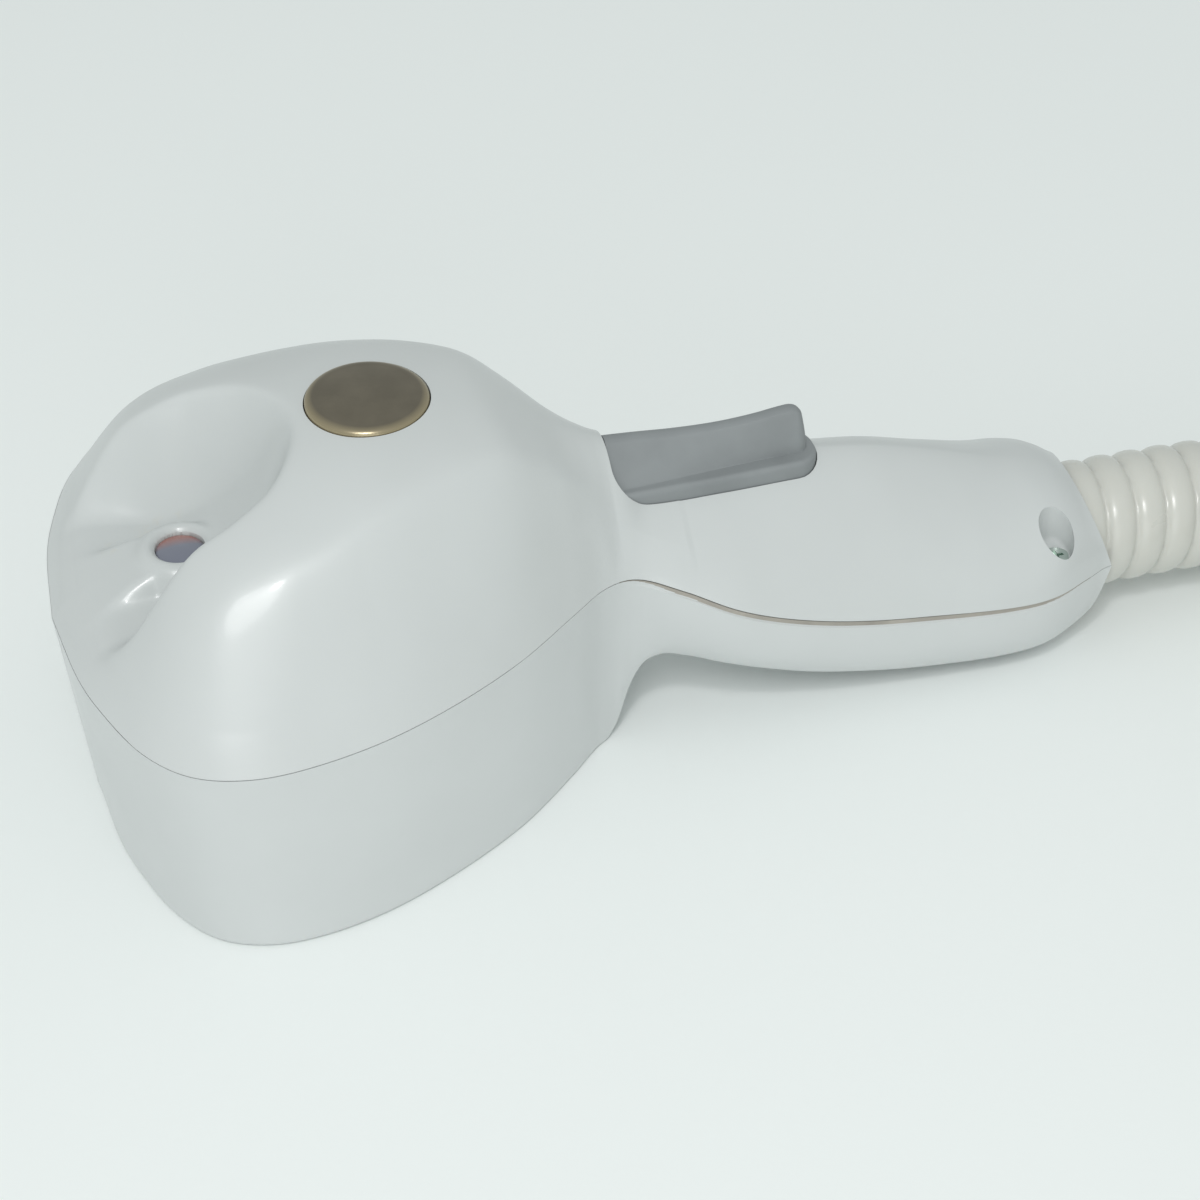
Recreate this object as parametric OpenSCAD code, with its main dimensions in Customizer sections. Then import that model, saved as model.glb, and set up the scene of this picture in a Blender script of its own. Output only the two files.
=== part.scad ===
// Hose-fed hand-held hair dryer: a wide flat head with a round outlet underneath,
// a straight handle with a hold-to-run trigger, and a ribbed air hose.
// Origin: middle of the handset at table height. X runs along the handle towards
// the hose, Z is up, and the handset is symmetric about the XZ plane.

/* [Shells] */
// Vertical thickness of the upper shell's skin
skin = 3; // [2.4:0.1:3.4]
// Width of the lower shell's rim and walls
wall = 2.6; // [2:0.1:3]
// Gap between the two shells along the parting line
part_gap = 0.2; // [0.1:0.05:0.4]
// Stations along the outline of each shell
stations = 50; // [30:1:60]
// Steps from the outline in to the middle of each shell
steps = 12; // [8:1:16]

/* [Push button] */
// Radius of the button's cap
button_r = 13.1; // [10:0.1:13.2]
// Height of the cap's rim above the table
button_z = 93.6; // [93:0.1:94]

/* [Trigger] */
// Length of the trigger pad
pad_l = 48.8; // [46:0.1:49]
// Half the trigger pad's width at its front
pad_front = 10.5; // [9:0.1:10.5]
// Half the trigger pad's width at its rear
pad_rear = 7; // [6:0.1:9]
// Radius of the trigger's pin
pin_r = 1.5; // [1:0.1:2]
// Running clearance round the pin
pin_fit = 0.05; // [0.02:0.01:0.1]

/* [Air path] */
// Radius of the heater's shroud
shroud_r = 38.5; // [34:0.5:39]
// Outer radius of the air duct
duct_r = 11; // [9:0.5:11]
// Wall of the air duct
duct_wall = 1.3; // [1:0.1:2]

/* [Hose] */
// Outer radius of the hose over its ribs
hose_r = 15; // [14:0.5:15]
// Radius of the coil where the hose enters it
coil_r = 178; // [170:1:190]
// Turns of hose in the coil
coil_turns = 1.3; // [1.2:0.05:1.3]

/* [Hidden] */
$fn = 64;
eps = 0.01;

// ---- smooth curves through hand-set points -------------------------------------------
function span_of(p, x, i = 0) = i >= len(p) - 2 || x < p[i + 1][0] ? i : span_of(p, x, i + 1);
function chord(p, i) = (p[i + 1][1] - p[i][1]) / (p[i + 1][0] - p[i][0]);
function slope(p, i) =
  i == 0 ? chord(p, 0) :
  i == len(p) - 1 ? chord(p, i - 1) :
  (chord(p, i - 1) * (p[i + 1][0] - p[i][0]) + chord(p, i) * (p[i][0] - p[i - 1][0]))
  / (p[i + 1][0] - p[i - 1][0]);
function hermite(a, b, ma, mb, t) =
  (2 * pow(t, 3) - 3 * pow(t, 2) + 1) * a + (pow(t, 3) - 2 * pow(t, 2) + t) * ma
  + (3 * pow(t, 2) - 2 * pow(t, 3)) * b + (pow(t, 3) - pow(t, 2)) * mb;
function curve(p, x_raw) =
  let (x = min(max(x_raw, p[0][0]), p[len(p) - 1][0]),
       i = span_of(p, x),
       h = p[i + 1][0] - p[i][0])
  hermite(p[i][1], p[i + 1][1], slope(p, i) * h, slope(p, i + 1) * h, (x - p[i][0]) / h);
function ease(a, b, x) = let (t = min(max((x - a) / (b - a), 0), 1)) t * t * (3 - 2 * t);
function blend_max(a, b, k) = (a + b + sqrt(pow(a - b, 2) + k * k)) / 2;
function blend_min(a, b, k) = (a + b - sqrt(pow(a - b, 2) + k * k)) / 2;

// ---- the body's curves ---------------------------------------------------------------
// half of the plan outline at the parting line, from the front of the head to the hose
PLAN = [[-120.5, 0], [-118.4, 21], [-114.8, 35], [-109.5, 48], [-102, 57], [-92, 61.3],
  [-80, 61.8], [-63, 58.4], [-46, 51.6], [-29, 42], [-14, 30.5], [-5, 23.7], [3, 21.4],
  [13, 24], [26, 27], [44, 27.2], [68, 26.8], [90, 27], [102, 25.3], [112, 20.8], [118, 17.8],
  [121, 16.8]];
// height of the parting line
PARTING = [[-121, 50], [-30, 50], [-16, 50], [-8, 49.9], [2, 48.7], [12, 45], [24, 39.1], [40, 32.8], [56, 28.7],
  [74, 26], [95, 24.1], [121, 22.5]];
// how far the lower shell tapers in towards its underside
TAPER = [[-121, 4.7], [-109, 4.5], [-98, 3], [-80, 1.6], [-46, 1.8], [-14, 3], [0, 5], [12, 5]];
// height of the underside
BELLY = [[-121, 0], [-30, 0], [-12, 0], [-6, 0.1], [-2, 0.6], [0, 3], [2.5, 10.5], [5, 15.5], [9, 18], [15, 17.5],
  [23, 15], [33, 11.4], [43, 7.9], [55, 4.9], [67, 2.6], [80, 1.4], [95, 0.8], [105, 0.9],
  [112, 2.6], [117, 5], [121, 6.5]];
// height of the head's crown along its middle, and how fast it falls to each side
CROWN = [[-121, 56], [-110, 70], [-100, 80], [-88, 87], [-80, 89.5], [-66, 92], [-50, 93.8],
  [-35, 92.6], [-26, 90], [-18, 84.5], [-9, 77], [-2, 73], [3, 70.5], [8, 64], [13, 57]];
CAMBER = [[-121, 0.0045], [-80, 0.0052], [-50, 0.0055], [-30, 0.005], [-20, 0.0045],
  [-8, 0.02], [0, 0.06]];
// slope of the head's side wall
RISE = [[-121, 1.4], [-109, 1.45], [-101, 1.35], [-91, 1.3], [-78, 1.4], [-62, 1.6],
  [-45, 1.8], [-25, 2.05], [0, 2]];
// top of the handle, and how round its section is
TOP = [[-15, 67], [2, 65.5], [12, 63.5], [25, 62], [45, 60], [54, 58.5], [64, 56.7], [80, 52],
  [95, 46], [105, 42.8], [112, 41.4], [117, 40.2], [121, 39.2]];
ROUND = [[-15, 1.35], [45, 1.4], [64, 1.5], [80, 1.5], [95, 1.65], [106, 2], [121, 2]];
// the scoop in the head's front: its floor along the middle and its half-width
SCOOP = [[-122, 51], [-113, 56.5], [-104, 57.5], [-96, 58], [-88, 61], [-80, 68], [-73, 78],
  [-67, 91], [-62, 106]];
SCOOP_W = [[-121, 22], [-108, 19], [-95, 15], [-84, 11], [-76, 6], [-66, 0]];
// how fast the scoop's sides rise beyond that width
SCOOP_RISE = [[-121, 0.075], [-110, 0.085], [-100, 0.12], [-92, 0.16], [-84, 0.13],
  [-76, 0.09], [-66, 0.075]];
// the ridge in the scoop that carries the eye
NOSE = [[-121, 50], [-112, 55.5], [-104, 60.5], [-98, 63.6], [-92, 64.5], [-86, 61.5],
  [-80, 50], [-74, 30]];
NOSE_W = [[-121, 13], [-108, 8], [-98, 6], [-90, 6], [-80, 4]];

function scoop_z(x, y) = blend_max(
  curve(SCOOP, x) + curve(SCOOP_RISE, x) * pow(max(abs(y) - curve(SCOOP_W, x), 0), 2),
  curve(NOSE, x) - 0.35 * pow(max(abs(y) - curve(NOSE_W, x), 0), 2), 1.6);
function handle_z(x, y, w) =
  let (n = curve(ROUND, x), low = curve(PARTING, x))
  low + (curve(TOP, x) - low) * pow(max(1 - pow(min(abs(y) / w, 1), n), 0), 1 / n);
// height of the upper skin at (x, y), a distance d in from the outline point p
function upper_z(p, x, y, d) =
  let (low = curve(PARTING, p[0]),
       soft = min(1, d / 6),
       wall_z = low + curve(RISE, p[0]) * d,
       crown_z = curve(CROWN, x) - curve(CAMBER, x) * y * y,
       head = blend_min(blend_min(wall_z, crown_z, 4.5 * soft), scoop_z(x, y), 3 * soft + eps),
       near = ease(-24, -6, x),
       hand = low + (handle_z(x, y, max(p[1], 1)) - low) * near)
  max(low, x > 16 ? hand : x < -24 ? head : blend_max(head, hand, 5 * near * soft + eps));

// outline points, evenly spaced along the hand-set ones, and the point on the middle
// line that each one is joined to
function outline(k) =
  let (u = k * (len(PLAN) - 1) / (stations - 1))
  [curve([for (i = [0:len(PLAN) - 1]) [i, PLAN[i][0]]], u),
   max(curve([for (i = [0:len(PLAN) - 1]) [i, PLAN[i][1]]], u), 0)];
EDGE = [for (k = [0:stations - 1]) outline(k)];
function middle(p) = [p[0] < -60 ? -60 + (p[0] + 60) / 3 : p[0], 0];
function inward(p, d) = let (m = middle(p)) p + (m - p) / norm(m - p) * d;
function reach(p) = norm(middle(p) - p);

// one line of skin points from the outline (j = 0) to the middle (j = steps)
function upper_pt(p, j, rim, drop) =
  let (d = rim + (reach(p) - rim) * (1 - cos(90 * j / steps)),
       q = inward(p, d),
       low = curve(PARTING, p[0]) + part_gap / 2)
  [q[0], q[1], j == 0 ? low : max(low + drop / 10, upper_z(p, q[0], q[1], d) - drop)];
function lower_pt(p, j, rim, drop) =
  let (f = j / steps,
       low = curve(PARTING, p[0]) - part_gap / 2,
       deep = low - curve(BELLY, p[0]) - drop,
       span = reach(p) - rim,
       taper = curve(TAPER, p[0]),
       // the head: a tapered wall, a small corner, a flat floor
       down = f < 0.4 ? f / 0.4 * 0.97 : 1,
       boxed = f < 0.4 ? taper * down : taper + 1.5 + (span - taper - 1.5) * (f - 0.4) / 0.6,
       // the handle: a rounded section
       bowl_in = span * (1 - pow(cos(90 * f), 2 / 3)),
       bowl_down = pow(sin(90 * f), 2 / 3),
       mix = ease(-4, 12, p[0]),
       d = rim + boxed * (1 - mix) + bowl_in * mix,
       q = inward(p, min(d, reach(p))))
  [q[0], q[1], low - deep * (down * (1 - mix) + bowl_down * mix)];
function mirrored(v) = [v[0], -v[1], v[2]];

// A closed skin between two grids of points. Each row crosses the body from one edge to
// the other; the first row runs along the middle, so its two halves share their points.
function cols() = 2 * steps + 1;
function at(k, j) = k * cols() + (k == 0 && j > steps ? 2 * steps - j : j);
function grid(rim, drop, upper) = [for (k = [0:stations - 1], j = [0:2 * steps])
  let (a = j <= steps ? j : 2 * steps - j,
       v = upper ? upper_pt(EDGE[k], a, rim_at(EDGE[k][0], rim, upper), drop)
                 : lower_pt(EDGE[k], a, rim_at(EDGE[k][0], rim, upper), drop),
       flat = a == steps ? [v[0], 0, v[2]] : v)
  j <= steps ? flat : mirrored(flat)];
function rim_at(x, rim, upper) = rim == 0 ? 0 : upper ? rim + 1.6 * (1 - ease(-6, 30, x)) : rim;
function quad(a, b, c, d) = a == b ? [[a, c, d]] : c == d ? [[a, b, c]] : [[a, b, c], [a, c, d]];
module skin_solid(upper, drop) {
  n = stations * cols();
  outer = grid(0, 0, upper);
  inner = grid(wall, drop, upper);
  walls = [for (k = [0:stations - 2], j = [0:2 * steps - 1])
    each quad(at(k, j), at(k, j + 1), at(k + 1, j + 1), at(k + 1, j))];
  sides = [for (k = [0:stations - 2], e = [0, 2 * steps])
    let (a = at(k, e), b = at(k + 1, e))
    each e == 0 ? [[a, b, b + n], [a, b + n, a + n]] : [[b, a, a + n], [b, a + n, b + n]]];
  last = stations - 1;
  end = [for (j = [0:2 * steps - 1]) let (a = at(last, j), b = at(last, j + 1))
    each [[a, b, b + n], [a, b + n, a + n]]];
  faces = concat(walls, [for (f = walls) [f[2] + n, f[1] + n, f[0] + n]], sides, end);
  polyhedron(concat(outer, inner),
    upper ? [for (f = faces) [f[2], f[1], f[0]]] : faces, convexity = 8);
}

// ---- places ---------------------------------------------------------------------------
button_x = -50;
heater_x = -58;
eye_x = -92;
hose_z = 22.5;
cuff_x = 90;
bend_x = 78;
duct_rise = 9.8;
pivot = [5, 0, 52];
pad_x = 1.2;
arm_x = 38;
// each rear screw sits in a well in the upper shell, over a boss in the lower one
well_spots = [[103, 19.2], [103, -19.2]];
well_floor = 28.8;
// each post hangs from the upper shell: its place, and the height where it meets the skin
post_spots = [[-101, 28, 64], [-101, -28, 64], [-17.5, 20, 72], [-17.5, -20, 72]];
screw_hole = 1.2;

// a ring about Z from z0 up
module ring(r_out, r_in, z0, h) {
  translate([0, 0, z0]) difference() {
    cylinder(r = r_out, h = h);
    translate([0, 0, -1]) cylinder(r = r_in, h = h + 2);
  }
}
// a cylinder along X from x0 on
module rod_x(r, x0, l) {
  translate([x0, 0, 0]) rotate([0, 90, 0]) cylinder(r = r, h = l);
}
module rod_y(r, l) {
  rotate([90, 0, 0]) cylinder(r = r, h = l, center = true);
}
// the pad seen from above, tapering towards the rear
pad_corner = 4;
module pad_plan(grow, l = pad_l) {
  front = [pad_x - grow, pad_front + grow];
  rear = [pad_x + l + grow, pad_rear + grow];
  c = pad_corner;
  polygon([[front[0] + c, -front[1]], [rear[0] - c, -rear[1]], [rear[0], c - rear[1]],
    [rear[0], rear[1] - c], [rear[0] - c, rear[1]], [front[0] + c, front[1]],
    [front[0], front[1] - c], [front[0], c - front[1]]]);
  for (s = [-1, 1]) {
    translate([front[0] + c, s * (front[1] - c)]) circle(r = c);
    translate([rear[0] - c, s * (rear[1] - c)]) circle(r = c);
  }
}

// ---- casing ---------------------------------------------------------------------------
module upper_shell() color("#cdd2d2") difference() {
  union() {
    skin_solid(true, skin);
    for (p = post_spots) translate([p[0], p[1], 3.2]) cylinder(r = 3.8, h = p[2] - 3.2);
    for (p = well_spots) translate([p[0], p[1], well_floor - 1.3]) cylinder(r = 3.9, h = 6.5);
  }
  translate([button_x, 0, 80]) cylinder(r = button_r + 0.3, h = 30);
  translate([eye_x, 0, 50]) cylinder(r = 4.6, h = 30);
  translate([0, 0, 52]) linear_extrude(height = 30) pad_plan(0.5, pad_l + 1);
  rod_hole();
  for (p = post_spots) translate([p[0], p[1], 3]) cylinder(r = screw_hole, h = 12);
  for (p = well_spots) translate([p[0], p[1], well_floor]) {
    cylinder(r = 3.2, h = 20);
    translate([0, 0, -3]) cylinder(r = 1.7, h = 6);
  }
}
module rod_hole() {
  translate([0, 0, hose_z]) rod_x(hose_r + 0.3, 99, 30);
}
module lower_shell() color("#c4caca") difference() {
  union() {
    skin_solid(false, skin);
    for (p = well_spots) translate([p[0], p[1], 7.6]) cylinder(r = 2.6, h = well_floor - 9);
  }
  translate([heater_x, 0, -1]) cylinder(r = 36, h = 6);
  rod_hole();
  for (p = well_spots) translate([p[0], p[1], 15]) cylinder(r = screw_hole, h = 20);
  for (p = post_spots) translate([p[0], p[1], -1]) {
    cylinder(r = 3.3, h = 3);
    cylinder(r = 1.7, h = 6);
  }
}
module screw(head_r, head_h, shank_r, shank_l) {
  difference() {
    cylinder(r = head_r, h = head_h);
    translate([0, 0, head_h / 2]) for (a = [0, 90]) rotate(a)
      translate([-head_r * 0.6, -0.4, 0]) cube([head_r * 1.2, 0.8, head_h]);
  }
  translate([0, 0, -shank_l]) cylinder(r = shank_r, h = shank_l);
}
module rear_screws() color("#9aa6a0")
  for (p = well_spots) translate([p[0], p[1], well_floor]) screw(2.8, 2.2, screw_hole, 12);
module head_screws() color("#9aa6a0")
  for (p = post_spots) translate([p[0], p[1], 2]) rotate([180, 0, 0])
    screw(2.8, 1.6, screw_hole, 10);

// ---- eye ------------------------------------------------------------------------------
module eye_lens() color("#6f7684") translate([eye_x, 0, 58.6]) cylinder(r = 4.4, h = 2.4);
module lens_gasket() color("#303234") translate([eye_x, 0, 0]) ring(4.4, 3.2, 57, 1.5);
module lamp_board() color("#2c6e49") translate([eye_x - 7, -8, 50.6]) cube([14, 16, 1.4]);
module indicator_lamp() color("#b4483c") translate([eye_x, 0, 52]) {
  cylinder(r = 2.9, h = 1);
  cylinder(r = 2.5, h = 2.6);
  translate([0, 0, 2.6]) intersection() {
    sphere(r = 2.5);
    cylinder(r = 3, h = 3);
  }
}

// ---- push button ----------------------------------------------------------------------
module push_button() color("#686356") translate([button_x, 0, 0]) {
  translate([0, 0, button_z]) intersection() {
    translate([0, 0, -91.5]) sphere(r = 92.4, $fn = 128);
    translate([0, 0, -5.5]) cylinder(r = button_r, h = 8);
  }
  translate([0, 0, 68.2]) cylinder(r = 3.5, h = 21);
}
module button_guide() color("#d8dcdc") translate([button_x, 0, 0]) {
  ring(15.2, 13.4, 78, 9);
  ring(13.6, 3.55, 78, 2);
  ring(7.5, 6.2, 70, 8.1);
  ring(6.4, 3.55, 76.5, 1.6);
}
// a round tube swept along a path of points, closed at both ends
function unit(v) = v / norm(v);
function heading(path, i) =
  unit(path[min(i + 1, len(path) - 1)] - path[max(i - 1, 0)]);
function ring_pts(path, i, r, m) =
  let (t = heading(path, i), side = unit(cross(t, [0, 0, 1])), up = cross(side, t))
  [for (k = [0:m - 1]) path[i] + r * (cos(360 * k / m) * side + sin(360 * k / m) * up)];
module tube(path, r, m = 12) {
  n = len(path) - 1;
  sides = [for (i = [0:n - 1], k = [0:m - 1])
    let (a = i * m + k, b = i * m + (k + 1) % m)
    each [[a, b, b + m], [a, b + m, a + m]]];
  polyhedron([for (i = [0:n]) each ring_pts(path, i, r, m)],
    concat(sides, [[for (k = [m - 1:-1:0]) k]], [[for (k = [0:m - 1]) n * m + k]]));
}
function helix(r, turns, z0, h, a) = [r * cos(360 * turns * a), r * sin(360 * turns * a), z0 + h * a];
module spring(r, turns, z0, h, wire) {
  n = round(turns * 14);
  tube([for (i = [0:n]) helix(r, turns, z0 + wire, h - 2 * wire, i / n)], wire, 8);
}
module button_spring() color("silver")
  translate([button_x, 0, 0]) spring(6, 4, 80.1, 7.8, 0.45);
module mode_switch() color("#26282a") translate([button_x, 0, 0]) {
  translate([-6, -6, 61.7]) cube([12, 12, 3.6]);
  translate([0, 0, 65.3]) cylinder(r = 1.8, h = 1.3);
}

// ---- control board --------------------------------------------------------------------
module control_board() color("#1f6b45") difference() {
  translate([-66, -21, 60]) cube([42, 42, 1.6]);
  for (x = [-63, -27], y = [-18, 18]) translate([x, y, 59]) cylinder(r = 1.6, h = 4);
}
module board_terminal() color("#2f3436") {
  translate([-40, 6, 61.7]) cube([8, 10, 7]);
  translate([-41, -15, 61.7]) cube([10, 11, 5]);
  for (y = [-14, 10]) translate([-61, y, 61.7]) cylinder(r = 4, h = 9);
}

// ---- trigger --------------------------------------------------------------------------
module side_cut(profile, w) {
  rotate([90, 0, 0]) linear_extrude(height = w, center = true) polygon(profile);
}
fin_l = 48.4;
module trigger() color("#8c9294") difference() {
  union() {
    intersection() {
      translate([0, 0, 50]) linear_extrude(height = 20) pad_plan(0);
      side_cut([[0, 55.5], [52, 54], [52, 61.2], [0, 65.2]], 2 * pad_front);
    }
    side_cut([[0.8, 60], [0.8, 72.2], [12, 71.9], [28, 71.4], [fin_l - 3, 71.9],
      [fin_l - 0.8, 71.2], [fin_l, 69], [fin_l, 60]], 4.6);
    translate([pivot[0], 0, pivot[2]]) rod_y(3.2, 13);
    translate([pivot[0] - 3.2, -6.5, pivot[2]]) cube([6.4, 13, 6]);
    translate([arm_x, 0, 48.6]) cylinder(r = 2.5, h = 9);
  }
  translate([pivot[0], 0, pivot[2]]) rod_y(pin_r + pin_fit, 30);
}
module trigger_pin() color("silver")
  translate([pivot[0], 0, pivot[2]]) rod_y(pin_r, 19);
module trigger_bracket() color("#3a3f42") difference() {
  union() {
    for (s = [-1, 1]) {
      translate([-3, s * 8.3 - 1.3, 46]) cube([52, 2.6, 3]);
      translate([pivot[0] - 3.4, s * 8.3 - 1.3, 46]) cube([6.8, 2.6, 8.7]);
    }
    translate([-3, -9.6, 48.2]) cube([4, 19.2, 2]);
    translate([43, -9.6, 46.9]) cube([6, 19.2, 2.1]);
  }
  translate([pivot[0], 0, pivot[2]]) rod_y(pin_r + pin_fit, 30);
}
module trigger_spring() color("silver")
  translate([46, 0, 0]) spring(2.6, 3, 49.1, 5, 0.35);
module trigger_switch() color("#1f2123") difference() {
  translate([arm_x - 10, -5, 42.6]) cube([20, 10, 4]);
  translate([arm_x, 0, 43.2]) cylinder(r = 1.45, h = 6);
  for (s = [-1, 1]) translate([arm_x + 6.5 * s, 0, 44.6]) rod_y(1, 20);
}
module switch_plunger() color("#b23a2e") translate([arm_x, 0, 45.2]) cylinder(r = 1.4, h = 3.3);

// ---- air path -------------------------------------------------------------------------
// the duct runs level from the cuff, then climbs towards the hood
function duct_z(x) = hose_z + tan(duct_rise) * blend_max(0, bend_x - x, 5);
function duct_path(x0, x1, n) =
  [for (i = [0:n]) let (x = x0 + (x1 - x0) * i / n) [x, 0, duct_z(x)]];
module air_duct() color("#4a4f52") difference() {
  tube(duct_path(-18, cuff_x - 2.5, 14), duct_r, 24);
  tube(duct_path(-25, cuff_x + 5, 16), duct_r - duct_wall, 24);
}
module duct_seal() color("#26282a") translate([0, 0, hose_z]) difference() {
  rod_x(12.5, cuff_x - 2.1, 2);
  rod_x(9.7, cuff_x - 4, 6);
}
module hose_cuff() color("#4a4f52") translate([0, 0, hose_z]) difference() {
  rod_x(16, cuff_x, 18);
  rod_x(9.7, cuff_x - 1, 20);
  rod_x(hose_r + 0.05, cuff_x + 10, 20);
}
module cuff_ring() color("#26282a") translate([0, 0, hose_z]) difference() {
  rod_x(15.9, cuff_x + 18.1, 3);
  rod_x(hose_r + 0.1, cuff_x + 17, 6);
}
module plenum_hood() color("#54595c") difference() {
  union() {
    translate([heater_x, 0, 0]) ring(40.5, 38.8, 26.2, 22);
    translate([heater_x, 0, 48.1]) cylinder(r = 40.5, h = 1.6);
    spigot(duct_r + 2, 0);
  }
  translate([heater_x, 0, 25]) cylinder(r = 38.8, h = 23.1);
  spigot(duct_r + 0.2, 1);
}
module spigot(r, more) {
  translate([bend_x, 0, hose_z]) rotate([0, duct_rise - 90, 0])
    translate([0, 0, bend_x + 12 - more]) cylinder(r = r, h = 15 + more);
}
module heater_shroud() color("#b9bdbd") translate([heater_x, 0, 0]) {
  ring(shroud_r, shroud_r - 0.8, 5.1, 22);
}
module heater_former() color("#cdb98c") translate([heater_x, 0, 0]) {
  for (a = [0, 90]) rotate(a + 45) translate([-34, -0.6, 8]) cube([68, 1.2, 18]);
  translate([0, 0, 7]) cylinder(r = 3, h = 21);
}
module heater_coil() color("#8d8f92") translate([heater_x, 0, 0])
  for (z = [10:3:25]) translate([0, 0, z]) rotate_extrude()
    translate([34.9, 0]) circle(r = 0.6, $fn = 16);
module thermostat() color("#c9ccce") translate([heater_x + 12, 12, 26.05]) {
  cylinder(r = 7, h = 6);
  cylinder(r = 8.5, h = 1.2);
}
module thermal_fuse() color("#d8d4c4") translate([heater_x - 12, -12, 28.1])
  rotate([0, 90, 45]) cylinder(r = 2, h = 12, center = true);
module outlet_grille() color("#3b3f42") translate([heater_x, 0, 0]) {
  ring(38.8, 34.5, 3.1, 1.9);
  ring(35.7, 34.5, 1, 2.2);
  for (r = [7:7:28]) ring(r + 0.8, r - 0.8, 1.2, 2.4);
  for (a = [0:60:300]) rotate(a) translate([6.5, -0.9, 1.2]) cube([28.5, 1.8, 2.4]);
}

// ---- wiring ---------------------------------------------------------------------------
// the route of the inner cable beside the duct, from the cuff up to the board
WIRE = [[84, 13.5, 24], [60, 14, 22], [30, 14.5, 26], [8, 13.2, 36], [-14, 14, 48], [-26, 14, 56]];
module wire_harness() color("#1d1f21") {
  from_x = WIRE[len(WIRE) - 1][0];
  by_x = [for (i = [len(WIRE) - 1:-1:0]) WIRE[i]];
  n = 24;
  tube([for (i = [0:n]) let (x = from_x + (WIRE[0][0] - from_x) * i / n)
    [x, curve([for (p = by_x) [p[0], p[1]]], x), curve([for (p = by_x) [p[0], p[2]]], x)]],
    1.8, 10);
}

// ---- hose -----------------------------------------------------------------------------
// the hose leaves the handle level, sinks to the table and runs straight to its coil
ROUTE = [[100, 0, 22.5], [122, 0, 22.5], [145, 0, 22], [170, 0, 20.2], [200, 0, 17.4],
  [230, 0, 15.7], [265, 0, 15.1], [300, 0, 15.1]];
module hose_stretch() color("#d2d3cb") {
  n = 26;
  sag = [for (p = ROUTE) [p[0], p[2]]];
  from_x = ROUTE[0][0];
  to_x = ROUTE[len(ROUTE) - 1][0];
  tube([for (i = [0:n]) let (x = from_x + (to_x - from_x) * i / n) [x, 0, curve(sag, x)]], hose_r);
}
// radius of the coil's centre line after t turns: a flat spiral, tighter at its end
coil_c = [300, -coil_r];
coil_pitch = 2 * hose_r + 1;
coil_tuck = 241;
function coil_at(t) = coil_r - coil_pitch * t - coil_tuck * pow(max(t - 1, 0), 2);
function coil_pt(t) =
  [coil_c[0] + coil_at(t) * sin(360 * t), coil_c[1] + coil_at(t) * cos(360 * t),
   hose_r + 0.1 + end_lift * ease(1, coil_turns, t)];
end_lift = 3;
module hose_coil() color("#d2d3cb") {
  n = 76;
  tube([for (i = [0:n]) coil_pt(coil_turns * i / n)], hose_r);
}
end_turn = 90 - 360 * coil_turns;
end_r = coil_at(coil_turns);
end_p = coil_pt(coil_turns);
end_slant = atan((coil_pitch + 2 * coil_tuck * (coil_turns - 1)) / (2 * PI) / end_r);
end_heading = end_turn - 90 - end_slant;
spigot_r = 14.6;
spigot_end = 58;
// places a child that runs along its own X at the end of the hose
module at_end() translate(end_p) rotate(end_heading) children();
module hose_connector() color("#3d4144") at_end() difference() {
  union() {
    rod_x(17.5, 0, 25.5);
    rod_x(15.2, 25, 16);
    rod_x(spigot_r, 40, spigot_end - 40);
  }
  rod_x(11.5, 8, 60);
  pin_places() rod_x(1.2, 44, 20);
}
module pin_places() for (a = [0:120:240]) rotate([a, 0, 0]) translate([0, 0, 13]) children();
module lock_ring() color("#5a5f62") at_end() difference() {
  rod_x(18, 26, 14);
  rod_x(15.25, 25, 16);
  for (a = [0, 180]) rotate([a, 0, 0]) translate([34, -2, 15.8]) cube([10, 4, 6]);
}
module contact_pins() color("#b8a060") at_end() pin_places() rod_x(1.2, 44, spigot_end - 40);
// a strap over both turns where they lie side by side
tie_turn = 0.075;
module coil_tie() color("#2b2d2f") translate(coil_c) {
  near = coil_at(tie_turn + 1) - hose_r;
  far = coil_at(tie_turn) + hose_r;
  rotate(90 - 360 * tie_turn) difference() {
    translate([near - 2.6, -8, 0]) cube([far - near + 5.2, 16, 2 * hose_r + 2.3]);
    translate([near - 1.2, -9, -1]) cube([far - near + 2.4, 18, 2 * hose_r + 1.9]);
  }
}

upper_shell();
lower_shell();
rear_screws();
head_screws();
eye_lens();
lens_gasket();
lamp_board();
indicator_lamp();
push_button();
button_guide();
button_spring();
mode_switch();
control_board();
board_terminal();
trigger();
trigger_pin();
trigger_bracket();
trigger_spring();
trigger_switch();
switch_plunger();
air_duct();
duct_seal();
hose_cuff();
cuff_ring();
plenum_hood();
heater_shroud();
heater_former();
heater_coil();
thermostat();
thermal_fuse();
outlet_grille();
wire_harness();
hose_stretch();
hose_coil();
hose_connector();
lock_ring();
contact_pins();
coil_tie();
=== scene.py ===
"""The looks of the hose-fed hair dryer: shells, trigger, button, eye and ribbed hose, built
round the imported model. Lengths in the shape functions are millimetres, meshes are metres."""
import math

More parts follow.
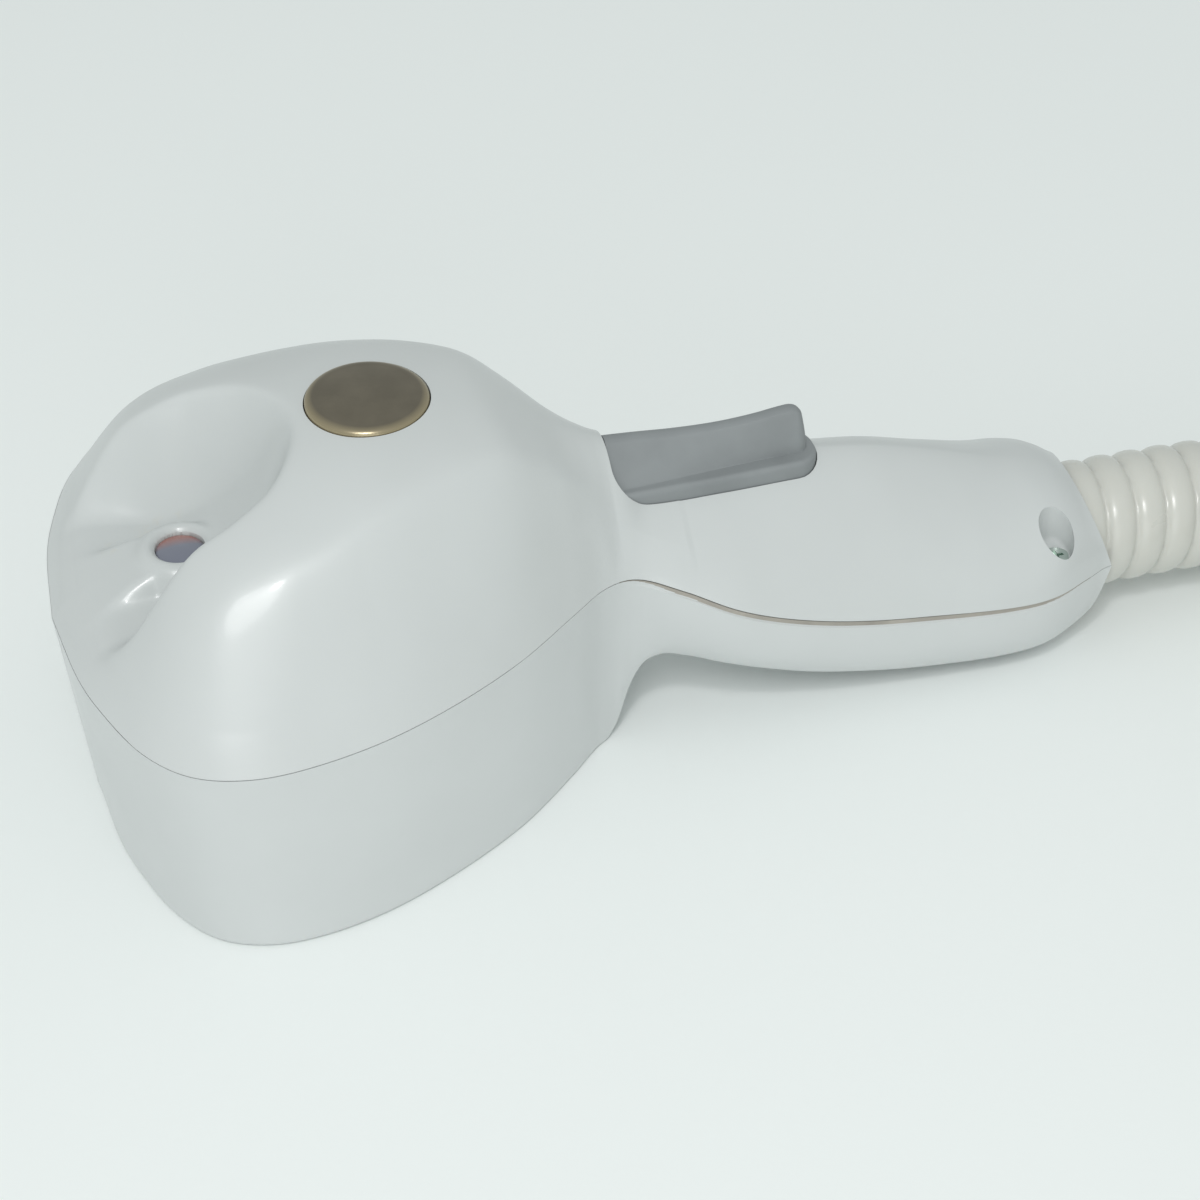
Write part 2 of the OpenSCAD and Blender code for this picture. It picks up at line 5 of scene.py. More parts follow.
import bmesh
import bpy
import numpy as np
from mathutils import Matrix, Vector


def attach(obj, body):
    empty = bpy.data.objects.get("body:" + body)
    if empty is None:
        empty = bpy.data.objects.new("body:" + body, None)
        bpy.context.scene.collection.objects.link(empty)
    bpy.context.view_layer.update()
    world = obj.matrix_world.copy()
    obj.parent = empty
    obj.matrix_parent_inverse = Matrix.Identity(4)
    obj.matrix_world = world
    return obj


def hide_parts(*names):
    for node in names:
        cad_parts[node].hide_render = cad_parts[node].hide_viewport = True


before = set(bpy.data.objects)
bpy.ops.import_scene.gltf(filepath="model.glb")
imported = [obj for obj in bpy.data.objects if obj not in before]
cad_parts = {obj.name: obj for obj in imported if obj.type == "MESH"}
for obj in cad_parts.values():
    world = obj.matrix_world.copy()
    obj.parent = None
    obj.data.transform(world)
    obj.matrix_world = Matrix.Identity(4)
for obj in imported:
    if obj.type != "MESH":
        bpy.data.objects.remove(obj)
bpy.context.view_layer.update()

MM = 0.001
BUTTON_X, HEATER_X, EYE_X = -50.0, -58.0, -92.0
HOSE_Z, HOSE_R = 22.5, 15.0
SKIN, RIM = 3.0, 2.6    # thickness of the shells, and of their edge at the parting line
WELD = 1e-7             # points closer than this, in metres, are one point

# ---- camera -----------------------------------------------------------------------------
VIEW_AZIMUTH, VIEW_ELEVATION = -16.5, 39.5
VIEW_DISTANCE = 0.665
VIEW_TARGET = Vector((-0.0034, -0.0133, 0.038))
LENS, SENSOR = 90.9, 36


def direction(azimuth, elevation):
    """unit vector towards a viewer; azimuth 0 is in front, on the -Y side"""
    a, e = math.radians(azimuth), math.radians(elevation)
    return Vector((math.sin(a) * math.cos(e), -math.cos(a) * math.cos(e), math.sin(e)))


def make_camera():
    data = bpy.data.cameras.new("camera")
    data.sensor_width = SENSOR
    data.lens = LENS
    camera = bpy.data.objects.new("camera", data)
    back = direction(VIEW_AZIMUTH, VIEW_ELEVATION)
    camera.location = VIEW_TARGET + back * VIEW_DISTANCE
    camera.rotation_mode = "QUATERNION"
    camera.rotation_quaternion = (-back).to_track_quat("-Z", "Y")
    bpy.context.collection.objects.link(camera)
    bpy.context.scene.camera = camera


# ---- curves through given points --------------------------------------------------------
def curve(points, x):
    """a smooth curve through (x, y) points, level with the nearest end outside them"""
    p = np.array(points, float)
    px, py = p[:, 0], p[:, 1]
    h = np.diff(px)
    chord = np.diff(py) / h
    m = np.empty(len(px))
    m[0], m[-1] = chord[0], chord[-1]
    m[1:-1] = (chord[:-1] * h[1:] + chord[1:] * h[:-1]) / (h[1:] + h[:-1])
    x = np.clip(np.asarray(x, float), px[0], px[-1])
    i = np.clip(np.searchsorted(px, x, "right") - 1, 0, len(h) - 1)
    t = (x - px[i]) / h[i]
    a, b = 2 * t**3 - 3 * t**2 + 1, 3 * t**2 - 2 * t**3
    c, d = t**3 - 2 * t**2 + t, t**3 - t**2
    return a * py[i] + b * py[i + 1] + h[i] * (c * m[i] + d * m[i + 1])


def ease(a, b, x):
    """rises smoothly from 0 at a to 1 at b"""
    t = np.clip((x - a) / (b - a), 0, 1)
    return t * t * (3 - 2 * t)


def blend_max(a, b, k):
    """the larger of two heights, rounded by about k where they meet"""
    return (a + b + np.sqrt((a - b) ** 2 + k * k)) / 2


def blend_min(a, b, k):
    return (a + b - np.sqrt((a - b) ** 2 + k * k)) / 2


# The body's curves: the same points as the CAD model's.
PLAN = [(-120.5, 0), (-118.4, 21), (-114.8, 35), (-109.5, 48), (-102, 57), (-92, 61.3),
        (-80, 61.8), (-63, 58.4), (-46, 51.6), (-29, 42), (-14, 30.5), (-5, 23.7), (3, 21.4),
        (13, 24), (26, 27), (44, 27.2), (68, 26.8), (90, 27), (101, 25.3), (110.5, 20.8),
        (116, 17.8), (119, 16.8)]
PARTING = [(-121, 50), (-30, 50), (-16, 50), (-8, 49.9), (2, 48.7), (12, 45), (24, 39.1),
           (40, 32.8), (56, 28.7), (74, 26), (95, 24.1), (121, 22.5)]
TAPER = [(-121, 4.7), (-109, 4.5), (-98, 3), (-80, 1.6), (-46, 1.8), (-14, 3), (0, 5), (12, 5)]
BELLY = [(-121, 0), (-30, 0), (-12, 0), (-6, 0.1), (-2, 0.6), (0, 3), (2.5, 10.5), (5, 15.5),
         (9, 18), (15, 17.5), (23, 15), (33, 11.4), (43, 7.9), (55, 4.9), (67, 2.6), (80, 1.4),
         (95, 0.8), (105, 0.9), (112, 2.6), (117, 5), (121, 6.5)]
CROWN = [(-121, 56), (-110, 70), (-100, 80), (-88, 87), (-80, 89.5), (-66, 92), (-50, 93.8),
         (-35, 92.6), (-26, 90), (-18, 84.5), (-9, 77), (-2, 73), (3, 70.5), (8, 64), (13, 57)]
CAMBER = [(-121, 0.0045), (-80, 0.0052), (-50, 0.0055), (-30, 0.005), (-20, 0.0045),
          (-8, 0.02), (0, 0.06)]
RISE = [(-121, 1.4), (-109, 1.45), (-101, 1.35), (-91, 1.3), (-78, 1.4), (-62, 1.6),
        (-45, 1.8), (-25, 2.05), (0, 2)]
TOP = [(-15, 67), (2, 65.5), (12, 63.5), (25, 62), (45, 60), (54, 58.5), (64, 56.7), (80, 52),
       (95, 46.8), (103, 44.6), (107, 43.2), (110, 41.6), (112, 40.2), (114, 39.2), (121, 38.8)]
ROUND = [(-15, 1.35), (45, 1.4), (64, 1.5), (80, 1.5), (95, 1.65), (106, 2), (121, 2)]
SCOOP = [(-122, 51), (-113, 56.5), (-104, 57.5), (-96, 58), (-88, 61), (-80, 68), (-73, 78),
         (-67, 91), (-62, 106)]
SCOOP_W = [(-121, 22), (-108, 19), (-95, 15), (-84, 11), (-76, 6), (-66, 0)]
SCOOP_RISE = [(-121, 0.075), (-110, 0.085), (-100, 0.14), (-92, 0.20), (-84, 0.15), (-76, 0.09),
              (-66, 0.075)]
NOSE = [(-121, 50), (-112, 55.5), (-104, 60.5), (-98, 62.3), (-92, 62.4), (-86, 59.5), (-80, 50),
        (-74, 30)]
NOSE_W = [(-121, 13), (-108, 8), (-98, 5.5), (-90, 5), (-80, 4)]
NOSE_FALL = 0.35
EYE_RIM_R, EYE_RIM_Z = 6.9, 63.5
RIM_FALL_OUT, RIM_FALL_IN, EYE_SINK = 0.30, 0.45, 2
# how softly the upper shell's surfaces meet, in millimetres
EDGE_SOFT = 6
CROWN_BLEND, SCOOP_BLEND, NOSE_BLEND, RIM_BLEND, LEAST_BLEND = 4.5, 3, 1.6, 1.0, 0.01
NECK = (-24, -6)        # the head's surface hands over to the handle's between these
HANDLE_ALONE = 16


def seam(x):
    """width of the gap between the two shells: a hairline on the head, wider on the handle"""
    return 0.18 + 0.34 * ease(-6, 12, x) * (1 - ease(70, 108, x))


def scoop_z(x, y):
    """the open scoop at the head's front, with the nose and the eye's collar in it"""
    floor = curve(SCOOP, x) + curve(SCOOP_RISE, x) * np.maximum(abs(y) - curve(SCOOP_W, x), 0) ** 2
    nose = curve(NOSE, x) - NOSE_FALL * np.maximum(abs(y) - curve(NOSE_W, x), 0) ** 2
    # a rounded collar round the eye
    off = np.hypot(x - EYE_X, y) - EYE_RIM_R
    collar = EYE_RIM_Z - np.where(off > 0, RIM_FALL_OUT, RIM_FALL_IN) * off**2
    nose = blend_max(nose - EYE_SINK * np.maximum(-off, 0) ** 2, collar, RIM_BLEND)
    return blend_max(floor, nose, NOSE_BLEND)


def handle_z(x, y, half):
    """the handle's rounded section above the parting line"""
    n, low = curve(ROUND, x), curve(PARTING, x)
    q = np.minimum(abs(y) / half, 1)
    return low + (curve(TOP, x) - low) * np.maximum(1 - q**n, 0) ** (1 / n)


def upper_z(px, py, x, y, d):
    """height of the upper shell at (x, y), which is d in from the edge point (px, py)"""
    low = curve(PARTING, px)
    soft = np.minimum(1, d / EDGE_SOFT)
    wall = low + curve(RISE, px) * d
    crown = curve(CROWN, x) - curve(CAMBER, x) * y * y
    dome = blend_min(wall, crown, CROWN_BLEND * soft)
    head = blend_min(dome, scoop_z(x, y), SCOOP_BLEND * soft + LEAST_BLEND)
    near = ease(*NECK, x)
    hand = low + (handle_z(x, y, np.maximum(py, 1)) - low) * near
    soften = 5 - 3 * ease(-4, 9, x) * (1 - ease(9, 21, abs(y)))
    both = blend_max(head, hand, soften * near * soft + LEAST_BLEND)
    return np.maximum(low, np.where(x > HANDLE_ALONE, hand, np.where(x < NECK[0], head, both)))


def stations(count):
    """points along the plan's edge, as columns"""
    u = np.linspace(0, len(PLAN) - 1, count)
    index = range(len(PLAN))
    x = curve([(i, p[0]) for i, p in zip(index, PLAN)], u)
    y = curve([(i, p[1]) for i, p in zip(index, PLAN)], u)
    return x[:, None], np.maximum(y, 0)[:, None]


def middle(px):
    """where on the middle line the row that starts at px ends: the head's rows fan out"""
    return np.where(px < -60, -60 + (px + 60) / 3, px)


def inward(px, py, d):
    mx = middle(px)
    length = np.hypot(mx - px, py)
    return px + (mx - px) * d / length, py - py * d / length


def upper_half(count, steps, rim, drop):
    """one side of the upper shell's skin: rim in from the edge, drop below the outer surface"""
    px, py = stations(count)
    reach = np.hypot(middle(px) - px, py)
    s = 1 - np.cos(np.linspace(0, math.pi / 2, steps + 1))[None, :]
    d = rim + (reach - rim) * s
    x, y = inward(px, py, d)
    low = curve(PARTING, px) + seam(px) / 2
    z = np.maximum(low + drop / 10, upper_z(px, py, x, y, d) - drop)
    z[:, 0] = low[:, 0]
    return x, y, z


CORNER_R = 1.6
WALL_SHARE, CORNER_SHARE = 0.42, 0.12    # of each row's steps
ROW_SPACING = 2.2                        # above 1: finer rows near the parting line
LIP, LIP_TALL, LIP_FOOT = 0.45, 1.1, 0.35
LIP_START, LIP_END = (-2, 14), (96, 112)
BOWL_POWER = 2 / 3


def lip_share(x):
    """1 where the handle has its full lip, 0 where it has none"""
    return ease(*LIP_START, x) * (1 - ease(*LIP_END, x))


def lower_half(count, steps, rim, drop):
    """one side of the lower shell's skin, from the parting line down to the middle line"""
    px, py = stations(count)
    f = np.linspace(0, 1, steps + 1)[None, :] ** ROW_SPACING
    low = curve(PARTING, px) - seam(px) / 2
    deep = low - curve(BELLY, px) - drop
    reach = np.hypot(middle(px) - px, py)
    span = reach - rim
    taper = curve(TAPER, px)
    # the head: a tapered wall, a rounded corner and a flat floor
    a = np.clip(f / WALL_SHARE, 0, 1)
    b = np.clip((f - WALL_SHARE) / CORNER_SHARE, 0, 1) * math.pi / 2
    c = np.clip((f - WALL_SHARE - CORNER_SHARE) / (1 - WALL_SHARE - CORNER_SHARE), 0, 1)
    wall_in = taper * a
    box_down = a * (1 - CORNER_R / deep) + np.sin(b) * CORNER_R / deep
    box_in = wall_in + CORNER_R * (1 - np.cos(b)) + (span - taper - CORNER_R) * c
    # the handle: a rounded section
    bowl_in = span * (1 - np.maximum(np.cos(f * math.pi / 2), 0) ** BOWL_POWER)
    bowl_down = np.sin(f * math.pi / 2) ** BOWL_POWER
    mix = ease(-4, 12, px)
    down = deep * (box_down * (1 - mix) + bowl_down * mix)
    # a stepped lip along the handle's edge
    lip = np.zeros_like(down)
    if rim == 0:
        lip = LIP * lip_share(px) * (1 - ease(LIP_TALL, LIP_TALL + LIP_FOOT, down))
    d = rim + box_in * (1 - mix) + bowl_in * mix + lip
    x, y = inward(px, py, np.minimum(d, reach))
    return x, y, low - down


def full_rows(half):
    """both sides as one grid of points"""
    x, y, z = half
    y = y.copy()
    y[:, -1] = 0
    y[0, :] = 0
    both = [np.concatenate([v, sign * v[:, -2::-1]], axis=1)
            for v, sign in ((x, 1), (y, -1), (z, 1))]
    return np.stack(both, axis=2)


def link(name, mesh, material=None):
    piece = bpy.data.objects.new(name, mesh)
    bpy.context.collection.objects.link(piece)
    if material:
        mesh.materials.append(material)
    return piece


def mesh_from(name, points, faces, material=None, smooth=True):
    """points in millimetres"""
    mesh = bpy.data.meshes.new(name)
    mesh.from_pydata((np.asarray(points, float) * MM).tolist(), [], faces)
    mesh.update()
    if smooth:
        mesh.shade_smooth()
    return link(name, mesh, material)


def grid_faces(rows, cols, base=0, flip=False, wrap=False):
    k = np.arange(rows - 1)[:, None]
    j = np.arange(cols if wrap else cols - 1)[None, :]
    n = (j + 1) % cols
    a, b = k * cols + j, k * cols + n
    c, d = (k + 1) * cols + n, (k + 1) * cols + j
    return np.stack([a, b, c, d] if not flip else [d, c, b, a], axis=2).reshape(-1, 4) + base


def repair(piece, weld=True):
    """turns the faces outwards, after merging the points that coincide"""
    mesh = bmesh.new()
    mesh.from_mesh(piece.data)
    if weld:
        bmesh.ops.remove_doubles(mesh, verts=mesh.verts, dist=WELD)
        bmesh.ops.dissolve_degenerate(mesh, edges=mesh.edges, dist=WELD)
    bmesh.ops.recalc_face_normals(mesh, faces=mesh.faces)
    mesh.to_mesh(piece.data)
    mesh.free()
    return piece


def skin_solid(name, outer, inner, upward, material):
    """a closed shell between two grids of points"""
    rows, cols = outer.shape[:2]
    total = rows * cols
    faces = [grid_faces(rows, cols, 0, upward), grid_faces(rows, cols, total, not upward)]
    k = np.arange(rows - 1) * cols
    e = k + cols - 1
    last = (rows - 1) * cols + np.arange(cols - 1)
    strips = [(k, k + cols, k + cols + total, k + total),
              (e + cols, e, e + total, e + cols + total),
              (last, last + 1, last + 1 + total, last + total)]
    for s in strips:
        quads = np.stack(s, axis=1)
        faces.append(quads[:, ::-1] if upward else quads)
    points = np.concatenate([outer.reshape(-1, 3), inner.reshape(-1, 3)])
    return repair(mesh_from(name, points, np.concatenate(faces).tolist(), material))


# ---- small mesh makers ------------------------------------------------------------------
def lathe(name, profile, material, turns=96, axis="Z", place=(0, 0, 0)):
    """spins a profile of (radius, height) pairs about an axis"""
    angle = np.linspace(0, 2 * math.pi, turns, endpoint=False)[None, :]
    r = np.array([p[0] for p in profile], float)[:, None]
    h = np.array([p[1] for p in profile], float)[:, None] + 0 * angle
    a, b = r * np.cos(angle), r * np.sin(angle)
    grid = np.stack((h, a, b) if axis == "X" else (a, b, h), axis=2) + np.array(place)
    faces = grid_faces(len(profile), turns, wrap=True).tolist()
    return repair(mesh_from(name, grid.reshape(-1, 3), faces, material))


def arc(cx, cy, r, start, end, count=8):
    a = np.radians(np.linspace(start, end, count))
    return [(cx + r * math.cos(t), cy + r * math.sin(t)) for t in a]


def prism_faces(n):
    """the faces of a prism between two rings of n points"""
    faces = [list(range(n))[::-1], list(range(n, 2 * n))]
    return faces + [[i, (i + 1) % n, n + (i + 1) % n, n + i] for i in range(n)]


def prism(name, outline, low, high, place=(0, 0, 0)):
    """an upright prism on a closed outline"""
    points = [(x, y, low) for x, y in outline] + [(x, y, high) for x, y in outline]
    points = np.array(points) + np.array(place)
    return mesh_from(name, points, prism_faces(len(outline)), smooth=False)


def circle(r, count):
    turn = np.linspace(0, 2 * math.pi, count, endpoint=False)
    return [(r * math.cos(t), r * math.sin(t)) for t in turn]


def pad_outline(grow):
    """the trigger pad in plan, tapering towards its round rear end"""
    x0, x1 = PAD_X - grow, PAD_X + PAD_L + grow
    front, rear = PAD_HALF[0] + grow, PAD_HALF[1] + grow
    a, b = PAD_CORNER[0] + grow, PAD_CORNER[1] + grow
    return (arc(x1 - b, rear - b, b, 0, 86) + arc(x0 + a, front - a, a, 86, 180)
            + arc(x0 + a, a - front, a, 180, 274) + arc(x1 - b, b - rear, b, 274, 360))


def cut(piece, cutters):
    """takes the cutters out of a piece, which keeps its own material alone"""
    for c in cutters:
        mod = piece.modifiers.new("cut", "BOOLEAN")
        mod.object = c
        mod.operation = "DIFFERENCE"
        mod.solver = "MANIFOLD"
    paint = piece.data.materials[0]
    bake(piece)
    piece.data.materials.clear()
    piece.data.materials.append(paint)
    piece.data.polygons.foreach_set("material_index", np.zeros(len(piece.data.polygons), np.int32))
    for c in cutters:
        bpy.data.objects.remove(c)


def bake(piece):
    """applies a piece's modifiers"""
    shaped = piece.evaluated_get(bpy.context.evaluated_depsgraph_get())
    mesh = bpy.data.meshes.new_from_object(shaped)
    old = piece.data
    piece.modifiers.clear()
    piece.data = mesh
    bpy.data.meshes.remove(old)


def crease(piece, degrees=38):
    piece.data.shade_smooth()
    piece.data.set_sharp_from_angle(angle=math.radians(degrees))


def join(name, pieces):
    first = pieces[0]
    with bpy.context.temp_override(active_object=first, selected_editable_objects=pieces):
        bpy.ops.object.join()
    first.name = name
    return first


# ---- materials --------------------------------------------------------------------------
GRAIN_DETAIL = 2.0


class Paint:
    """A procedural material: the shader's own sockets, plus noise for colour, gloss and bump."""

    def __init__(self, name, color, rough=0.4, metal=0.0, **sockets):
        self.material = bpy.data.materials.new(name)
        self.material.use_nodes = True
        self.tree = self.material.node_tree
        self.shader = self.tree.nodes["Principled BSDF"]
        self.set("Base Color", (*color, 1))
        self.set("Roughness", rough)
        self.set("Metallic", metal)
        self.color = color
        for socket, value in sockets.items():
            self.set(socket.replace("_", " "), value)
        self.where = self.tree.nodes.new("ShaderNodeTexCoord").outputs["Object"]

    def set(self, socket, value):
        self.shader.inputs[socket].default_value = value

    def node(self, kind, inputs=(), **facts):
        n = self.tree.nodes.new(kind)
        for k, v in facts.items():
            setattr(n, k, v)
        for k, v in dict(inputs).items():
            if isinstance(v, bpy.types.NodeSocket):
                self.tree.links.new(v, n.inputs[k])
            else:
                n.inputs[k].default_value = v
        return n

    def noise(self, scale, detail=3.0, rough=0.5):
        facts = {"Vector": self.where, "Scale": scale, "Detail": detail, "Roughness": rough}
        return self.node("ShaderNodeTexNoise", facts).outputs["Fac"]

    def span(self, value, a, b, c, d):
        """maps a to c and b to d"""
        return self.node("ShaderNodeMapRange", {"Value": value, 1: a, 2: b, 3: c, 4: d}).outputs[0]

    def mix(self, fac, a, b):
        n = self.node("ShaderNodeMix", data_type="RGBA")
        for k, v in ((0, fac), (6, a), (7, b)):
            if isinstance(v, bpy.types.NodeSocket):
                self.tree.links.new(v, n.inputs[k])
            else:
                n.inputs[k].default_value = v if k == 0 else (*v[:3], 1)
        return n.outputs[2]

    def link(self, value, socket):
        self.tree.links.new(value, self.shader.inputs[socket])
        return self

    def vary(self, scale, amount):
        """mottles the colour by a small amount"""
        light = tuple(min(c * (1 + amount), 1) for c in self.color)
        dark = tuple(c * (1 - amount) for c in self.color)
        self.tinted = self.mix(self.span(self.noise(scale), 0.35, 0.65, 0, 1), dark, light)
        return self.link(self.tinted, "Base Color")

    def worn(self, scale, low, high):
        """lets the roughness wander"""
        return self.link(self.span(self.noise(scale, 4), 0.3, 0.7, low, high), "Roughness")

    def grain(self, scale, depth):
        """a fine bump, with its depth in millimetres"""
        facts = {"Height": self.noise(scale, GRAIN_DETAIL), "Distance": depth * MM, "Strength": 1.0}
        return self.link(self.node("ShaderNodeBump", facts).outputs[0], "Normal")


def spot(paint, x, y, z, radius, sharp):
    """1 near a point in the row frame, fading to 0 at the radius, in millimetres"""
    off = paint.node("ShaderNodeVectorMath", {0: paint.where, 1: (x * MM, y * MM, z * MM)},
                     operation="DISTANCE")
    return paint.span(off.outputs["Value"], radius * MM * sharp, radius * MM, 1, 0)


def times(paint, a, b):
    return paint.node("ShaderNodeMath", {0: a, 1: b}, operation="MULTIPLY").outputs[0]


SHELL_UP = (0.580, 0.604, 0.600)
SHELL_LOW = (0.590, 0.612, 0.610)
TRIGGER_GREY = (0.245, 0.262, 0.268)
STAIN = (0.60, 0.53, 0.36)
STAINS = ((-92, 12.5, 61, 4.5), (-104, 9, 58.5, 4.5), (-96, 12, 60, 6))    # x, y, z, radius
SPECK = (0.12, 0.10, 0.08)
BRONZE, BRONZE_HIGHLIGHT = (0.165, 0.145, 0.108), (0.42, 0.355, 0.225)
HIGHLIGHT_FROM, HIGHLIGHT_TO, HIGHLIGHT_Z = 11.4, 13.4, 93    # the button's edge ring, coloured brighter as a painted highlight
LENS_GREY, LENS_RED = (0.165, 0.175, 0.225), (0.30, 0.105, 0.085)


def casing_paint(name, color, stained):
    p = Paint(name, color, 0.34, Specular_IOR_Level=0.5, Coat_Weight=0.25, Coat_Roughness=0.12)
    p.vary(24, 0.018)
    tint = p.tinted
    if stained:
        for x, y, z, r in STAINS:
            amount = times(p, spot(p, x, y, z, r, 0.1), p.span(p.noise(420, 4), 0.5, 0.75, 0, 0.5))
            tint = p.mix(amount, tint, STAIN)
    specks = p.node("ShaderNodeTexVoronoi", {"Vector": p.where, "Scale": 70.0, "Randomness": 1.0})
    dots = p.span(specks.outputs["Distance"], 0.012, 0.018, 0.75, 0)
    rare = p.node("ShaderNodeSeparateColor", {0: specks.outputs["Color"]}).outputs[0]
    dots = times(p, dots, p.span(rare, 0.9, 0.91, 0, 1))
    tint = p.mix(dots, tint, SPECK)
    p.link(tint, "Base Color")
    p.worn(60, 0.30, 0.38)
    p.grain(900, 0.012)
    return p.material


def lip_paint():
    # a tan edge colour, partly the lip's own tone and partly darkened as painted shade of the gap
    # between the shells
    p = Paint("lip_paint", (0.36, 0.335, 0.295), 0.5)
    p.vary(120, 0.12)
    p.grain(900, 0.02)
    return p.material


def plain_paint(name, color, rough, metal=0.0, scale=600, depth=0.02):
    p = Paint(name, color, rough, metal)
    p.vary(90, 0.05)
    p.worn(150, rough * 0.85, min(rough * 1.15, 1))
    p.grain(scale, depth)
    return p.material


def button_paint():
    p = Paint("button_paint", BRONZE, 0.34, 0.6, Specular_IOR_Level=0.5)
    p.vary(140, 0.08)
    # painted highlight: a brighter bronze ring round the rolled edge stands in for the gleam it
    # catches; the ring is also smoother
    edge = spot(p, BUTTON_X, 0, HIGHLIGHT_Z, HIGHLIGHT_TO, HIGHLIGHT_FROM / HIGHLIGHT_TO)
    p.link(p.mix(edge, BRONZE_HIGHLIGHT, p.tinted), "Base Color")
    p.link(p.mix(edge, (0.24, 0.24, 0.24), (0.36, 0.36, 0.36)), "Roughness")
    p.grain(2600, 0.008)
    return p.material


def hose_paint():
    p = Paint("hose_paint", (0.60, 0.60, 0.555), 0.3, Specular_IOR_Level=0.5,
              Coat_Weight=0.3, Coat_Roughness=0.16, Subsurface_Weight=0.15,
              Subsurface_Radius=(0.004, 0.0035, 0.003), Subsurface_Scale=0.5)
    p.vary(35, 0.03)
    p.worn(80, 0.26, 0.36)
    p.grain(300, 0.02)
    return p.material


def lens_paint():
    p = Paint("lens_paint", (0.16, 0.17, 0.22), 0.12, Coat_Weight=1.0, Coat_Roughness=0.03)
    # painted shading: the lens runs from grey-blue on its near side to red on its far side, as a
    # tilted lens looks in this light
    y = p.node("ShaderNodeSeparateXYZ", {0: p.where}).outputs["Y"]
    p.link(p.mix(p.span(y, 0.4 * MM, 3.4 * MM, 0, 1), LENS_GREY, LENS_RED), "Base Color")
    p.worn(500, 0.08, 0.16)
    return p.material


def floor_paint():
    p = Paint("floor_paint", (0.885, 0.915, 0.905), 0.5, Specular_IOR_Level=0.3)
    p.vary(3, 0.006)
    p.grain(700, 0.02)
    return p.material


# ---- shells -----------------------------------------------------------------------------
PAD_X, PAD_L = 1.2, 48.8
PAD_HALF = (10.5, 7.0)      # half its width at the front and at the rear
PAD_CORNER = (3.2, 6.2)
PAD_GAP, HOSE_GAP = 0.25, 0.55
BUTTON_HOLE_R, EYE_HOLE_R, HEATER_HOLE_R = 13.35, 5.35, 36
HOSE_BORE = (99, 130)
END_X, END_SLOPE_UP, END_SLOPE_LOW = 118.6, -0.36, 0.3
WELLS = ((103, 17.9), (103, -17.9))
WELL_R, WELL_FLOOR = 4.3, 28.8
WELL_SKIN, WELL_TOP, WELL_HOLE_R, WELL_BASE = 0.8, 40, 1.5, 1.2
WELL_LIFT, WELL_LIFT_BELOW, WELL_LIFT_Y = 2.5, 33, (13.4, 17.4)
POSTS = ((-101, 28), (-101, -28), (-17.5, 20), (-17.5, -20))
HEAD_R, HEAD_DEEP, SHANK_R, SHANK_DEEP = 3.2, 2.1, 1.6, 8
BELOW = -5                  # cutters that come up through the bottom start here
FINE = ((400, 100))


def cylinder_cut(r, low, high, place, count=96):
    return prism("cutter", circle(r, count), low, high, place)


def hose_bore():
    r, (x0, x1) = HOSE_R + HOSE_GAP, HOSE_BORE
    return lathe("bore", [(0, x0), (r, x0), (r, x1), (0, x1)], None, 96, "X", (0, 0, HOSE_Z))


def upper_casing(paint):
    outer = full_rows(upper_half(*FINE, 0, 0))
    inner = full_rows(upper_half(*FINE, RIM, SKIN))
    shell = skin_solid("upper_casing", outer, inner, True, paint)
    cutters = [cylinder_cut(BUTTON_HOLE_R, 80, 110, (BUTTON_X, 0, 0)),
               cylinder_cut(EYE_HOLE_R, 50, 90, (EYE_X, 0, 0)),
               prism("cutter", pad_outline(PAD_GAP), 50, 90),
               hose_bore(), end_slant(END_X, END_SLOPE_UP)]
    cutters += [cylinder_cut(WELL_R, WELL_FLOOR - 1, 60, (x, y, 0)) for x, y in WELLS]
    cut(shell, cutters)
    crease(shell)
    cups = [well_cup(x, y, paint) for x, y in WELLS]
    return join("upper_casing", [shell] + cups)


def end_slant(x, slope):
    """a cutter that takes off the shells' rear end along a slanted plane across the hose"""
    h, reach = 30, 40
    outline = [(x + slope * h, h), (x + reach, h), (x + reach, -h), (x - slope * h, -h)]
    points = [(px, side * reach, HOSE_Z + pz) for side in (-1, 1) for px, pz in outline]
    cutter = mesh_from("cutter", points, prism_faces(len(outline)), smooth=False)
    return repair(cutter, weld=False)


def well_cup(x, y, paint):
    """a screw's well: its wall reaches up into the shell's skin, and its floor rises beside
    the hose cuff"""
    low, wall, top, hole = WELL_FLOOR, WELL_R + WELL_SKIN, WELL_TOP, WELL_HOLE_R
    profile = [(hole, low), (WELL_R - 1, low), (WELL_R - 0.3, low + 0.3), (WELL_R, low + 1),
               (WELL_R, top), (wall, top), (wall, low - WELL_BASE), (hole, low - WELL_BASE),
               (hole, low)]
    cup = lathe("cup", profile, paint, 64, "Z", (x, y, 0))
    for v in cup.data.vertices:
        vx, vy, vz = v.co / MM
        half = curve(PLAN, vx)
        skin = handle_z(vx, vy, half)
        rise = WELL_LIFT * (1 - ease(*WELL_LIFT_Y, abs(vy)))
        lifted = vz + rise if vz < WELL_LIFT_BELOW else vz
        v.co.z = min(lifted, skin - WELL_SKIN) * MM
    crease(cup)
    return cup


def lower_casing(paint, lip):
    outer = full_rows(lower_half(*FINE, 0, 0))
    inner = full_rows(lower_half(*FINE, RIM, SKIN))
    shell = skin_solid("lower_casing", outer, inner, False, paint)
    cutters = [cylinder_cut(HEATER_HOLE_R, BELOW, 8, (HEATER_X, 0, 0), 128),
               hose_bore(), end_slant(END_X, END_SLOPE_LOW)]
    for x, y in POSTS:
        cutters += [cylinder_cut(HEAD_R, BELOW, HEAD_DEEP, (x, y, 0), 48),
                    cylinder_cut(SHANK_R, BELOW, SHANK_DEEP, (x, y, 0), 32)]
    cut(shell, cutters)
    shell.data.materials.append(lip)
    paint_lip(shell)
    crease(shell)
    return shell


